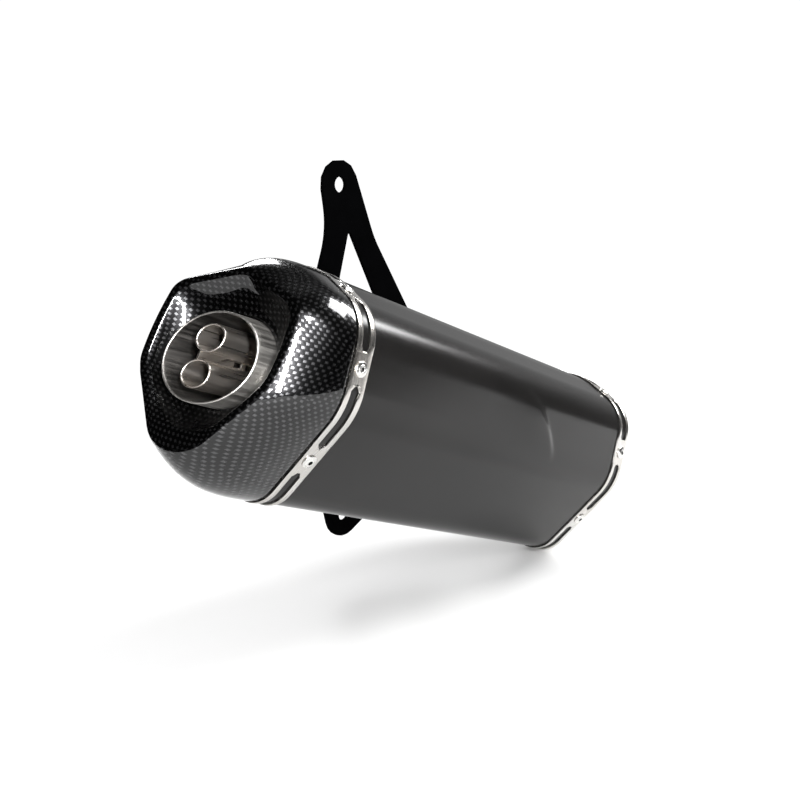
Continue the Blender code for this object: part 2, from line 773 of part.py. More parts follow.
def make_fixings(frames):
    """Bosses set into the sleeve, and the bolts and washers that hold the bracket on them."""
    stand = PLATE_Y - BODY_HALF[1][0] * MM
    bore = BOLT_R + GAP
    boss = [
        (bore, stand - GAP),
        (BOSS_R, stand - GAP),
        (BOSS_R, GAP),
        (BOSS_NECK_R, GAP),
        (BOSS_NECK_R, -BOSS_DEPTH),
        (bore, -BOSS_DEPTH),
    ]
    washer_low = stand + PLATE_T + GAP
    washer = [
        (bore, washer_low + WASHER_T),
        (WASHER_R, washer_low + WASHER_T),
        (WASHER_R, washer_low),
        (bore, washer_low),
    ]
    head_low = washer_low + WASHER_T + GAP
    head_high = head_low + BOLT_HEAD_H
    chamfer = 0.6 * MM
    bolt_end = -BOSS_DEPTH + 1 * MM
    bolt = [
        (BOLT_SOCKET_R, head_high - BOLT_SOCKET_DEPTH),
        (BOLT_SOCKET_R + 2 * chamfer, head_high),
        (BOLT_HEAD_R - chamfer, head_high),
        (BOLT_HEAD_R, head_high - chamfer),
        (BOLT_HEAD_R, head_low),
        (BOLT_R, head_low),
        (BOLT_R, bolt_end),
        (0.0, bolt_end),
        (0.0, head_high - BOLT_SOCKET_DEPTH),
    ]
    pieces = {"boss": (boss, COATED), "washer": (washer, STEEL), "bolt": (bolt, STEEL)}
    for kind, (profile, look) in pieces.items():
        name = f"bracket_{kind}"
        mesh = turned_mesh(name, profile, 20)
        mesh.materials.append(look)
        for number, frame in enumerate(frames, 1):
            new_object(f"{name}_{number}", mesh, None).matrix_local = frame


def settle():
    """Moves the whole silencer so that its footprint is centred on the origin, at height zero."""
    bpy.context.view_layer.update()
    graph = bpy.context.evaluated_depsgraph_get()
    corners = []
    for obj in SILENCER.objects:
        if obj.type != "MESH":
            continue
        solid = obj.evaluated_get(graph)
        corners += [solid.matrix_world @ vertex.co for vertex in solid.data.vertices]
    low = [min(corner[axis] for corner in corners) for axis in range(3)]
    high = [max(corner[axis] for corner in corners) for axis in range(3)]
    installed.location = (-(low[0] + high[0]) / 2, -(low[1] + high[1]) / 2, -low[2])
    bpy.context.view_layer.update()


front_frames = rivet_frames(FRONT_BAND_X)
rear_frames = rivet_frames(REAR_BAND_X)
front_cutters = rivet_cutters("front", front_frames)
rear_cutters = rivet_cutters("rear", rear_frames)
fixings = fixing_frames()
boss_cutters = [
    cylinder_cutter(f"boss_hole_{number}", BOSS_NECK_R + GAP, 20 * MM, frame, 20)
    for number, frame in enumerate(fixings, 1)
]

cut(make_end_cap(), front_cutters)
make_outlet()
cut(band("front_band", FRONT_BAND_X, False), front_cutters)
cut(band("rear_band", REAR_BAND_X, True), rear_cutters)
rivets("front_rivet", front_frames)
rivets("rear_rivet", rear_frames)
make_sleeve(front_cutters + rear_cutters + boss_cutters)
make_insides()
make_inlet_cap(rear_cutters)
make_inlet_pipe()
make_clamp()
make_bracket()
make_fixings(fixings)
settle()
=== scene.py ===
"""Looks for the racing silencer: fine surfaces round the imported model, their materials, light and camera.

Pieces are built in the silencer's own section frame, whose X runs from the outlet towards the inlet, Y points
inboard to the bracket and Z up across the section. Its axis and origin are read from the clamp's joint.
"""

import json
import math

import bmesh
import bpy
from mathutils import Matrix, Vector


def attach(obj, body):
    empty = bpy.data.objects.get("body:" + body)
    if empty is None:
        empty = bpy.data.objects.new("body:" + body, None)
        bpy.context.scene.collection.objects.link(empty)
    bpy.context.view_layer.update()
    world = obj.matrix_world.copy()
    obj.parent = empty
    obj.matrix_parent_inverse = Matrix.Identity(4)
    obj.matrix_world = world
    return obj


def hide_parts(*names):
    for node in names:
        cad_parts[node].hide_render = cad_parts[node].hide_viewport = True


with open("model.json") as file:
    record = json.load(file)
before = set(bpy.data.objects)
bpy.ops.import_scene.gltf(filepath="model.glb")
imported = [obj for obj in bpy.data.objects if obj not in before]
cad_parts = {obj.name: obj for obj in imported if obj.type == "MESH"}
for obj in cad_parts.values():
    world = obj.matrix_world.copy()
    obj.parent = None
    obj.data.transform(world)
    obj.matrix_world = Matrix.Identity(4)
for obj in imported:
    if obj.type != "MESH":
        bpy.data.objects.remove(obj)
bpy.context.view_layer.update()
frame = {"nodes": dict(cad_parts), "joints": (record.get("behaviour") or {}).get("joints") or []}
MM = 0.001

# ---------------------------------------------------------------- driving dimensions

CLAMP_X = 431.0 * MM
# The slash plane runs this far along X for each step along Y and along Z.
RAKE_Y = -0.348
RAKE_Z = 0.216

# (Y, Z, corner radius), from the top round the +Y side to the bottom
BODY_HALF = [(0.0, 74.5, 52.0), (57.3, 43.9, 32.0), (57.3, -11.8, 40.0), (0.0, -92.7, 23.0)]
CREST_HALF = [(0.0, 56.0, 10.0), (38.6, 40.5, 9.0), (39.8, -12.0, 24.0), (0.0, -75.5, 22.0)]
ARC_STEPS = 14
FLAT_STEPS = 14

SLEEVE_T = 1.2 * MM
SLEEVE_TUCK = 0.4 * MM
SLEEVE_STATIONS = 150
SKIRT_INSET = SLEEVE_T + 0.5 * MM
SKIRT_L = 11.0 * MM

BAND_T = 1.0 * MM
BAND_W = 14.0 * MM
BAND_LIFT = 0.3 * MM
BAND_STEPS = 360
RAIL_STEPS = 6
ROLLED_EDGE = 0.22 * MM
SLOT_W = 7.4 * MM
# How wide a blunt-pointed slot starts, as a share of its full width.
SLOT_POINT = 0.22
# Where strips start round a slot's end, in shares of half the slot's width.
SLOT_MARKS = (0.0, 0.002, 0.04, 0.12, 0.25, 0.45, 0.7, 1.0)
LAND_L = 19.0 * MM
FRONT_BAND_X = 61.0 * MM
REAR_BAND_X = 373.5 * MM
FRONT_EDGE_X = FRONT_BAND_X - BAND_W / 2
REAR_EDGE_X = REAR_BAND_X + BAND_W / 2

RIVET_HEAD_R = 4.8 * MM
RIVET_HEAD_H = 1.5 * MM
RIVET_LIFT = 0.3 * MM
RIVET_BORE_R = 1.3 * MM
RIVET_R = 2.4 * MM
RIVET_TAIL = 5.5 * MM
RIVET_SIDES = 40
# (out, up) in millimetres: out from the bore or from the flange's rim, and up from the rivet's top.
RIVET_COLLAR = ((0.0, -0.45), (0.12, -0.2), (0.4, -0.05), (0.8, 0.0), (1.2, -0.1), (1.6, -0.38), (1.9, -0.55))
RIVET_RIM = ((-0.8, -0.66), (-0.35, -0.8), (-0.1, -1.0), (0.0, -1.2), (-0.1, -1.5))

CAP_T = 0.9 * MM
CAP_HOLE_DEPTH = 14.0 * MM
CAP_HOLE_PLAY = 0.7 * MM
CAP_COLLAR_L = 2.0 * MM
FLANK_PROUD = 0.4 * MM
RIM_BOW = 2.4 * MM
RIM_BOW_REACH = 2.0 * MM
RIM_FACE_W = 3.8 * MM
CREST_EDGE = 1.2 * MM
EDGE_STEPS = 6
# How full each cap's dome is: the power of the height by which it draws in, at its top and at its sides.
CAP_DOME = (3.5, 2.1)
INLET_DOME = (3.0, 3.0)
DOME_STEPS = 24
# The power by which the rings of a dome draw closer together at its top.
DOME_CLOSING = 1.4
LIP_W = 1.0 * MM
LIP_DEPTH = 1.4 * MM
# Millimetres in from the rim's flat face and down from it, on the way up from the bowl's lip.
LIP_STEPS = ((0.45, 0.7), (0.1, 0.3), (-0.6, 0.05), (-1.6, 0.0))
BOWL_STEPS = 14
BOWL_CURVE = 1.7
BOWL_ROUNDING = 9.0 * MM

CREASE_CENTRE = (196.0 * MM, -52.0 * MM)
CREASE_R = 94.0 * MM
CREASE_TOP = 38.0 * MM
CREASE_LOW = -9.0 * MM
CREASE_HEIGHT = 1.7 * MM
CREASE_RISE = 60.0 * MM
CREASE_FALL = 5.0 * MM
CREASE_TAPER = 1.2
OUTBOARD_Y = -30.0 * MM

TUBE_R = 27.8 * MM
TUBE_T = 1.2 * MM
TUBE_END_X = 106.0 * MM
TUBE_SIDES = 144
TUBE_STEPS = 24
# The power by which the rings of a tube draw closer together at its slash.
TUBE_CLOSING = 1.5
TUBE_RIM_STEPS = 6
TUBE_RIM_SPACE = 0.5 * MM
TIP_R = 8.7 * MM
TIP_T = 1.0 * MM
TIP_Y = 4.1 * MM
TIP_RISE = 10.9 * MM
TIP_END_X = 128.0 * MM
TIP_SIDES = 72

PIPE_R = 22.5 * MM
NECK_PLAY = 0.8 * MM
PRESSED_T = 1.2 * MM
CAP_NECK_X = 400.0 * MM
NECK_BLEND = 3.0 * MM
# Millimetres from the neck's start, closer together where the dome runs into it.
NECK_RINGS = (-2.4, -1.6, -0.6, 1.0, 3.0, 5.0, 6.0)
INLET_TUCK = 1.0 * MM
WELD_GAP = 0.01 * MM

# ---------------------------------------------------------------- the section frame

swivel = next(joint for joint in frame["joints"] if joint["name"] == "clamp_swivel")
AXIS = Vector(swivel["axis"]).normalized()
ORIGIN = Vector(swivel["pos_m"]) - AXIS * CLAMP_X
INBOARD = Vector((0.0, 1.0, 0.0))
SECTION = Matrix((AXIS, INBOARD, AXIS.cross(INBOARD))).transposed().to_4x4()
SECTION.translation = ORIGIN


# ---------------------------------------------------------------- outlines


def hexagon(half):
    """All six corners, in metres, from the half that is listed."""
    mirrored = [(-y, z, radius) for y, z, radius in half[-2:0:-1]]
    return [tuple(value * MM for value in corner) for corner in half + mirrored]


def corner_frame(corners, i):
    """A corner's place, the directions to its neighbours and half the angle between them."""
    here = Vector(corners[i][:2])
    last = (Vector(corners[i - 1][:2]) - here).normalized()
    following = (Vector(corners[(i + 1) % len(corners)][:2]) - here).normalized()
    return here, last, following, last.angle(following) / 2


def shrunk(corners, distance):
    """The corners of the outline that lies `distance` inside, or outside if negative."""
    moved = []
    for i, corner in enumerate(corners):
        here, last, following, half = corner_frame(corners, i)
        spot = here + (last + following).normalized() * distance / math.sin(half)
        moved.append((spot.x, spot.y, corner[2] - distance))
    return moved


def rounded(corners):
    """A closed outline, with an arc of ARC_STEPS parts at each corner and FLAT_STEPS between corners."""
    arcs = []
    for i, corner in enumerate(corners):
        here, last, following, half = corner_frame(corners, i)
        radius = corner[2]
        centre = here + (last + following).normalized() * radius / math.sin(half)
        start = here + last * radius / math.tan(half) - centre
        turn = math.copysign(math.pi - 2 * half, -last.cross(following))
        turns = [turn * k / ARC_STEPS for k in range(ARC_STEPS + 1)]
        arcs.append([centre + Matrix.Rotation(part, 2) @ start for part in turns])
    outline = []
    for arc, following in zip(arcs, arcs[1:] + arcs[:1]):
        outline += arc[:-1]
        outline += [arc[-1].lerp(following[0], k / FLAT_STEPS) for k in range(FLAT_STEPS)]
    return outline


def circle(radius, sides, centre=(0.0, 0.0)):
    angles = [math.tau * k / sides for k in range(sides)]
    return [Vector((centre[0] + radius * math.cos(t), centre[1] + radius * math.sin(t))) for t in angles]


def rake(y, z):
    """How far along the axis the slash plane lies at a point of the section."""
    return RAKE_Y * y + RAKE_Z * z


BODY = hexagon(BODY_HALF)
CREST = hexagon(CREST_HALF)


# ---------------------------------------------------------------- mesh makers


def finish_piece(name, mesh, look, matrix=SECTION):
    """Links a mesh as a piece of the silencer's own body, with one material."""
    mesh.materials.clear()
    mesh.materials.append(look)
    piece = bpy.data.objects.new(name, mesh)
    bpy.context.scene.collection.objects.link(piece)
    piece.matrix_world = matrix
    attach(piece, "silencer")
    return piece


def loft(name, rings, look, wrap=False, uv=None, matrix=SECTION):
    """A surface through rings of equal length.

    `wrap` joins the last ring to the first. `uv` gives the cloth coordinates at one corner of a face, from
    the face's row, the corner's row and column, and the strip between columns that the face lies in.
    """
    shape = bmesh.new()
    rows = [[shape.verts.new(point) for point in ring] for ring in rings]
    layer = shape.loops.layers.uv.new("cloth") if uv else None
    pairs = list(zip(range(len(rows)), range(1, len(rows))))
    if wrap:
        pairs.append((len(rows) - 1, 0))
    count = len(rows[0])
    for i, j in pairs:
        for k in range(count):
            m = (k + 1) % count
            face = shape.faces.new((rows[i][k], rows[j][k], rows[j][m], rows[i][m]))
            if layer:
                for loop, (row, column) in zip(face.loops, ((i, k), (j, k), (j, m), (i, m))):
                    loop[layer].uv = uv(i, row, column, k)
    bmesh.ops.remove_doubles(shape, verts=shape.verts, dist=1e-7)
    if wrap:
        bmesh.ops.recalc_face_normals(shape, faces=shape.faces)
    mesh = bpy.data.meshes.new(name)
    shape.to_mesh(mesh)
    shape.free()
    mesh.shade_smooth()
    return finish_piece(name, mesh, look, matrix)


def solidify(piece, thickness, side):
    """Gives a surface its thickness, inwards (-1) or outwards (1)."""
    sheet = piece.modifiers.new("sheet", "SOLIDIFY")
    sheet.thickness = thickness
    sheet.offset = side
    sheet.use_even_offset = True


def bevel(piece, width, degrees):
    """Rounds the edges that are sharper than `degrees`."""
    edge = piece.modifiers.new("edges", "BEVEL")
    edge.width = width
    edge.segments = 2
    edge.limit_method = "ANGLE"
    edge.angle_limit = math.radians(degrees)
    piece.modifiers.new("normals", "WEIGHTED_NORMAL").keep_sharp = True


def ring_at(loop, x):
    return [Vector((x, point[0], point[1])) for point in loop]


def raked_ring(loop, depth):
    return [Vector((rake(point[0], point[1]) + depth, point[0], point[1])) for point in loop]


def turned(name, profile, sides, look, matrix):
    """A closed profile of (radius, height) turned about the matrix's Z axis."""
    rings = [[Vector((*point, height)) for point in circle(radius, sides)] for radius, height in profile]
    return loft(name, rings, look, wrap=True, matrix=matrix)


def pointing(spot, direction):
    """The placement of a part at a spot of the section frame, with its own Z axis along the direction."""
    return SECTION @ Matrix.Translation(spot) @ Vector(direction).to_track_quat("Z", "Y").to_matrix().to_4x4()


# ---------------------------------------------------------------- node helpers


class Graph:
    """A short way to write the node tree of a material or a world."""

    def __init__(self, owner, shader="Principled BSDF"):
        self.owner = owner
        owner.use_nodes = True
        self.tree = owner.node_tree
        self.shader = self.tree.nodes[shader]

    def add(self, kind, settings=None, **inputs):
        node = self.tree.nodes.new("ShaderNode" + kind)
        for key, value in (settings or {}).items():
            setattr(node, key, value)
        for key, value in inputs.items():
            self.put(node, key.replace("_", " "), value)
        return node

    def put(self, node, key, value):
        """Links or sets an input, named or numbered."""
        socket = node.inputs[int(key)] if key.isdigit() else node.inputs[key]
        if isinstance(value, bpy.types.NodeSocket):
            self.tree.links.new(value, socket)
        elif isinstance(value, bpy.types.Node):
            self.tree.links.new(value.outputs[0], socket)
        else:
            socket.default_value = value

    def math(self, operation, a, b=None):
        node = self.add("Math", {"operation": operation})
        self.put(node, "0", a)
        if b is not None:
            self.put(node, "1", b)
        return node

    def ramp(self, factor, low, high, low_value=0.0, high_value=1.0):
        """Goes from `low_value` to `high_value` as the factor goes from `low` to `high`, and no further."""
        node = self.add("MapRange", {"clamp": True})
        self.put(node, "Value", factor)
        ends = {"From Min": low, "From Max": high, "To Min": low_value, "To Max": high_value}
        for key, value in ends.items():
            self.put(node, key, value)
        return node

    def colours(self, factor, first, second):
        """A mix of two colours, or of a colour and what another node gives."""
        node = self.add("Mix", {"data_type": "RGBA"})
        self.put(node, "0", factor)
        for key, value in (("6", first), ("7", second)):
            self.put(node, key, value if isinstance(value, bpy.types.NodeSocket) else (*value, 1.0))
        return node.outputs[2]

    def noise(self, scale, stretch=(1.0, 1.0, 1.0), detail=3.0):
        place = self.add("TexCoord").outputs["Object"]
        mapped = self.add("Mapping", Vector=place, Scale=stretch)
        return self.add("TexNoise", Vector=mapped, Scale=scale, Detail=detail).outputs[0]

    def radius(self, across):
        """The distance from one of the object's axes: `across` has a 0 along it and is 1 otherwise."""
        place = self.add("TexCoord").outputs["Object"]
        level = self.add("VectorMath", {"operation": "MULTIPLY"}, **{"0": place, "1": across})
        return self.add("VectorMath", {"operation": "LENGTH"}, **{"0": level}).outputs["Value"]

    def bump(self, height, distance, strength=1.0):
        return self.add("Bump", Height=height, Distance=distance, Strength=strength).outputs[0]

    def surface(self, **inputs):
        """Sets the shader's inputs and gives back the material or world."""
        for key, value in inputs.items():
            self.put(self.shader, key.replace("_", " "), value)
        return self.owner


# ---------------------------------------------------------------- materials

CELL = 2.45 * MM


def carbon_material():
    """Plain-weave carbon under a clear coat: the weave is the cloth's own, and the tows on top in one
    direction get a brighter metallic colour, a painted sheen in place of the fibres' directional reflection,
    while the others stay dark.
    """
    g = Graph(bpy.data.materials.new("carbon_weave"))
    cloth = g.add("SeparateXYZ", Vector=g.add("UVMap", {"uv_map": "cloth"}))
    wave_u, wave_v = (g.math("SINE", g.math("MULTIPLY", cloth.outputs[k], math.pi / CELL)) for k in (0, 1))
    on_top = g.math("GREATER_THAN", g.math("MULTIPLY", wave_u, wave_v), 0.0)
    across = g.ramp(g.math("ABSOLUTE", wave_u), 0.45, 0.8)
    along = g.ramp(g.math("ABSOLUTE", wave_v), 0.15, 0.55)
    sheen_tows = g.math("MULTIPLY", g.math("MULTIPLY", across, along), on_top)
    crown = g.math("MULTIPLY", g.math("ABSOLUTE", wave_u), g.math("ABSOLUTE", wave_v))
    # Painted sheen: the tows on top in one direction are given a brighter colour than the others, though both
    # are the same fibre.
    weave_with_painted_sheen = g.colours(sheen_tows, (0.003, 0.003, 0.0033), (0.055, 0.055, 0.057))
    rough = g.ramp(g.noise(90.0), 0.3, 0.7, 0.24, 0.3)
    return g.surface(
        Base_Color=weave_with_painted_sheen,
        Metallic=0.9,
        Roughness=rough,
        Normal=g.bump(crown, 0.012 * MM, 1.0),
        Coat_Weight=1.0,
        Coat_Roughness=0.03,
        Coat_IOR=1.5,
        Coat_Normal=g.bump(g.noise(130.0), 0.01 * MM, 0.4),
    )


def coated_material():
    """Satin black coating over sheet that was brushed along its length."""
    g = Graph(bpy.data.materials.new("black_coated_sheet"))
    grain = g.noise(900.0, (0.02, 1.0, 1.0), 4.0)
    cloud = g.noise(9.0)
    rough = g.math("ADD", g.ramp(grain, 0.3, 0.7, 0.15, 0.2), g.math("MULTIPLY", cloud, 0.04))
    return g.surface(
        Base_Color=g.colours(g.ramp(cloud, 0.3, 0.7), (0.007, 0.0068, 0.0066), (0.011, 0.0105, 0.0102)),
        Metallic=0.0,
        Roughness=rough,
        Specular_IOR_Level=0.24,
        Normal=g.bump(grain, 0.004 * MM, 0.3),
    )


def steel_graph(name, low, high, stretch, depth=0.003):
    """Stainless that is yet to get its colour: streaks in one direction, between two roughnesses."""
    g = Graph(bpy.data.materials.new(name))
    grain = g.noise(700.0, stretch, 4.0)
    rough = g.ramp(grain, 0.3, 0.7, low, high)
    g.surface(Metallic=1.0, Roughness=rough, Normal=g.bump(grain, depth * MM, 0.5))
    return g


def steel_material(name, colour, low, high, stretch, depth=0.003, warm=0.0):
    """Bright or brushed stainless with a slight, cloudy change of colour."""
    g = steel_graph(name, low, high, stretch, depth)
    shade = tuple(value * factor for value, factor in zip(colour, (0.9, 0.87 - warm, 0.83 - 2 * warm)))
    return g.surface(Base_Color=g.colours(g.ramp(g.noise(22.0), 0.35, 0.7), colour, shade))


def outlet_material():
    """Brushed stainless with painted shade on the inner wall of the tube, broken by streaks, and bright on
    its rim and outside.
    """
    g = steel_graph("outlet_steel", 0.3, 0.5, (0.03, 1.0, 1.0), 0.004)
    inside = g.ramp(g.radius((0.0, 1.0, 1.0)), TUBE_R - TUBE_T, TUBE_R - 0.5 * TUBE_T, 1.0, 0.0)
    streaks = g.ramp(g.noise(160.0, (0.12, 1.0, 1.0)), 0.35, 0.65)
    # Painted shade: the inner wall of the tube gets a darker, streaked colour for the shade inside it.
    painted_inner_shade = g.colours(streaks, (0.1, 0.095, 0.09), (0.3, 0.285, 0.27))
    return g.surface(Base_Color=g.colours(inside, (0.62, 0.6, 0.57), painted_inner_shade))


def rivet_material():
    """Bright stainless, with painted shade down the bore: its wall is coloured near-black."""
    g = steel_graph("rivet_steel", 0.2, 0.3, (1.0, 1.0, 1.0))
    outside = g.ramp(g.radius((1.0, 1.0, 0.0)), RIVET_BORE_R + 0.03 * MM, RIVET_BORE_R + 0.3 * MM)
    # Painted shade: the wall down the bore is coloured near-black so that the hole reads dark.
    return g.surface(Base_Color=g.colours(outside, (0.01, 0.01, 0.01), (0.7, 0.69, 0.67)))


def powder_material():
    """Matte black powder coat with its fine pebble."""
    g = Graph(bpy.data.materials.new("black_powder_coat"))
    pebble = g.noise(1500.0, detail=2.0)
    return g.surface(
        Base_Color=g.colours(g.noise(60.0), (0.0008, 0.0008, 0.0009), (0.0018, 0.0018, 0.002)),
        Roughness=g.ramp(pebble, 0.3, 0.7, 0.5, 0.62),
        Normal=g.bump(pebble, 0.02 * MM, 0.4),
        Specular_IOR_Level=0.0,
    )


def wool_material():
    """Pale mineral wool, its fibres lying mostly lengthwise."""
    g = Graph(bpy.data.materials.new("mineral_wool"))
    fibre = g.noise(500.0, (0.3, 1.0, 1.0), 6.0)
    return g.surface(
        Base_Color=g.colours(fibre, (0.5, 0.45, 0.28), (0.8, 0.76, 0.6)),
        Roughness=0.95,
        Normal=g.bump(fibre, 0.4 * MM),
    )


def graphite_material():
    """Dark pressed graphite."""
    g = Graph(bpy.data.materials.new("graphite"))
    speck = g.noise(900.0)
    return g.surface(Base_Color=g.colours(speck, (0.05, 0.05, 0.05), (0.12, 0.12, 0.12)), Roughness=0.6)


CARBON = carbon_material()
COATED = coated_material()
BAND_STEEL = steel_material("bright_strap", (0.6, 0.59, 0.575), 0.2, 0.3, (1.0, 0.05, 0.05))
RIVET_STEEL = rivet_material()
TUBE_STEEL = steel_material("brushed_tube", (0.62, 0.59, 0.56), 0.24, 0.4, (0.03, 1.0, 1.0), 0.004, 0.01)
OUTLET_STEEL = outlet_material()
INLET_STEEL = steel_material("pressed_steel", (0.5, 0.49, 0.475), 0.24, 0.36, (1.0, 0.1, 0.1))
ZINC = steel_material("zinc_plate", (0.6, 0.6, 0.61), 0.25, 0.4, (1.0, 1.0, 1.0))
INNER_STEEL = steel_material("inner_sheet", (0.5, 0.48, 0.45), 0.3, 0.45, (0.05, 1.0, 1.0), 0.006, 0.03)
POWDER = powder_material()
WOOL = wool_material()
GRAPHITE = graphite_material()


# ---------------------------------------------------------------- end cap


def eased(value):
    """A smooth step from 0 to 1."""
    value = min(1.0, max(0.0, value))
    return value * value * (3 - 2 * value)


def bowed(loop):
    """The rim's outline with its upright sides bowed outwards."""
    high, low = (corner[1] * MM for corner in CREST_HALF[1:3])
    middle, half = (high + low) / 2, (high - low) / 2 + RIM_BOW_REACH
    bows = [RIM_BOW * max(0.0, 1 - ((point.y - middle) / half) ** 2) for point in loop]
    return [Vector((point.x + math.copysign(bow, point.x), point.y)) for point, bow in zip(loop, bows)]


def bowl_edge(inset):
    """The rim's outline drawn in by `inset`, with its corners eased towards the round bowl."""
    share = inset / (RIM_FACE_W + LIP_W)
    return bowed(rounded([(y, z, radius + BOWL_ROUNDING * share) for y, z, radius in shrunk(CREST, inset)]))


def domed(foot, top, height, powers):
    """The ring at a height, from 0 to 1, of a dome from `foot` to `top`.

    It draws in by the height to a power, which can differ between the dome's top and its sides.
    """
    widest = max(point.y for point in foot)
    ring = []
    for low, high in zip(foot, top):
        drawn = height ** (powers[0] + (powers[1] - powers[0]) * eased(abs(low.y) / widest))
        ring.append(Vector((low.x + (high.x - low.x) * height, *low.yz.lerp(high.yz, drawn))))
    return ring


def dome_heights():
    """From the top down, closest near the top, where the dome turns fastest."""
    return [1 - (k / DOME_STEPS) ** DOME_CLOSING for k in range(1, DOME_STEPS)]


def edge_rings(inside, corner, outside, width):
    """Rings that round off the corner between two surfaces, `width` back from it on each."""
    near = [c + (a - c).normalized() * width for a, c in zip(inside, corner)]
    far = [c + (b - c).normalized() * width for b, c in zip(outside, corner)]
    rings = []
    for k in range(EDGE_STEPS + 1):
        t = k / EDGE_STEPS
        parts = zip(near, corner, far)
        rings.append([a * (1 - t) ** 2 + c * 2 * t * (1 - t) + b * t**2 for a, c, b in parts])
    return rings


def facet_of(column):
    """Which facet the strip after a column belongs to; a corner's arc is shared between its two facets."""
    corner, step = divmod(column, ARC_STEPS + FLAT_STEPS)
    return corner if step >= ARC_STEPS / 2 else corner - 1


def cloth_map(rings, rim_row):
    """Cloth coordinates in metres: outwards from the axis in the bowl, and along each facet on the flank."""
    heights = [[0.0] * len(rings[0])]
    for ring, following in zip(rings, rings[1:]):
        heights.append([h + (b - a).length for h, a, b in zip(heights[-1], ring, following)])
    directions = []
    for i in range(len(BODY)):
        step = Vector(BODY[(i + 1) % len(BODY)][:2]) - Vector(BODY[i][:2])
        directions.append(step.normalized())
    diagonal = Matrix.Rotation(math.radians(45), 2)

    def uv(strip_row, row, column, strip):
        across = rings[row][column].yz
        if strip_row < rim_row:
            return diagonal @ across.normalized() * (TUBE_R + heights[row][column])
        return (across.dot(directions[facet_of(strip)]), heights[row][column])

    return uv


def bowl_rings():
    """From the collar round the outlet tube up to the lip."""
    lip = bowl_edge(RIM_FACE_W + LIP_W)
    hole = [point.normalized() * (TUBE_R + CAP_HOLE_PLAY) for point in lip]
    rings = [raked_ring(hole, CAP_HOLE_DEPTH + CAP_COLLAR_L)]
    for k in range(BOWL_STEPS, 0, -1):
        share = k / BOWL_STEPS
        depth = LIP_DEPTH + (CAP_HOLE_DEPTH - LIP_DEPTH) * (1 - (1 - share) ** BOWL_CURVE)
        rings.append(raked_ring([a.lerp(b, share) for a, b in zip(lip, hole)], depth))
    rings.append(raked_ring(lip, LIP_DEPTH))
    return rings


def make_end_cap():
    """Bowl, raked rim, domed flank and skirt, from the outlet tube out to the sleeve."""
    rings = bowl_rings()
    for inset, depth in LIP_STEPS:
        rings.append(raked_ring(bowl_edge(RIM_FACE_W + inset * MM), depth * MM))
    rim_row = len(rings)
    crest = raked_ring(bowed(rounded(CREST)), 0.0)
    skirt = rounded(shrunk(BODY, SKIRT_INSET))
    foot = ring_at(rounded(shrunk(BODY, -FLANK_PROUD)), FRONT_EDGE_X - BAND_LIFT)
    flank = [domed(foot, crest, height, CAP_DOME) for height in dome_heights()]
    rings += edge_rings(rings[-1], crest, flank[2], CREST_EDGE)
    rings += flank[2:]
    rings += [foot, ring_at(skirt, FRONT_EDGE_X), ring_at(skirt, FRONT_EDGE_X + SKIRT_L)]
    cap = loft("carbon_end_cap", rings, CARBON, uv=cloth_map(rings, rim_row))
    solidify(cap, CAP_T, -1.0)
    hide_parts("end_cap")


# ---------------------------------------------------------------- sleeve


def crease_lift(x, z):
    """How far the outboard face stands proud: a slow rise up to a curved crease and a quick fall past it."""
    beyond = math.hypot(x - CREASE_CENTRE[0], z - CREASE_CENTRE[1]) - CREASE_R
    if x < CREASE_CENTRE[0] or not CREASE_LOW < z < CREASE_TOP:
        return 0.0
    tall = math.sin(math.pi * (z - CREASE_LOW) / (CREASE_TOP - CREASE_LOW)) ** CREASE_TAPER
    along = eased((x - CREASE_CENTRE[0]) / CREASE_RISE)
    shape = eased(1 + beyond / CREASE_RISE) if beyond < 0 else 1 - eased(beyond / CREASE_FALL)
    return CREASE_HEIGHT * shape * tall * along


def make_sleeve():
    """The coated skin, with its crease on the outboard face."""
    start = FRONT_EDGE_X + SLEEVE_TUCK
    end = REAR_EDGE_X - SLEEVE_TUCK
    outline = rounded(BODY)
    rings = []
    for k in range(SLEEVE_STATIONS + 1):
        x = start + (end - start) * k / SLEEVE_STATIONS
        lifts = [crease_lift(x, point.y) if point.x < OUTBOARD_Y else 0.0 for point in outline]
        rings.append([Vector((x, point.x - lift, point.y)) for point, lift in zip(outline, lifts)])
    sleeve = loft("sleeve_skin", rings, COATED)
    solidify(sleeve, SLEEVE_T, -1.0)
    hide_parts("sleeve")


# ---------------------------------------------------------------- bands and rivets


class Track:
    """A closed outline walked by distance."""

    def __init__(self, loop):
        self.loop = loop
        self.lengths = [0.0]
        for point, following in zip(loop, loop[1:] + loop[:1]):
            self.lengths.append(self.lengths[-1] + (following - point).length)
        self.total = self.lengths[-1]

    def at(self, distance):
        """The point at a distance along the outline, and the outward normal there."""
        distance %= self.total
        k = next(i for i in range(len(self.loop)) if self.lengths[i + 1] >= distance)
        step = self.loop[(k + 1) % len(self.loop)] - self.loop[k]
        point = self.loop[k] + step * ((distance - self.lengths[k]) / step.length)
        return point, Vector((-step.y, step.x)).normalized()

    def nearest(self, spot):
        """The distance along the outline at which it passes closest to a spot."""
        samples = [self.total * k / 4000 for k in range(4000)]
        return min(samples, key=lambda distance: (self.at(distance)[0] - spot).length)


def facet_middles(corners):
    """The rivet's place on each facet and the facet's outward normal."""
    loop = rounded(corners)
    turn = ARC_STEPS + FLAT_STEPS
    found = []
    for i in range(len(corners)):
        end = loop[i * turn + ARC_STEPS]
        start = loop[((i + 1) * turn) % len(loop)]
        run = (start - end).normalized()
        found.append(((start + end) / 2, Vector((-run.y, run.x))))
    return found


def slot_half(from_end, round_ends):
    """Half a slot's width at a distance from its end, which is round or blunt-pointed."""
    full = SLOT_W / 2
    if from_end < 0.01 * MM:
        return 0.0
    if from_end >= full:
        return full
    part = from_end / full
    return full * (math.sqrt(1 - (1 - part) ** 2) if round_ends else SLOT_POINT + (1 - SLOT_POINT) * part)


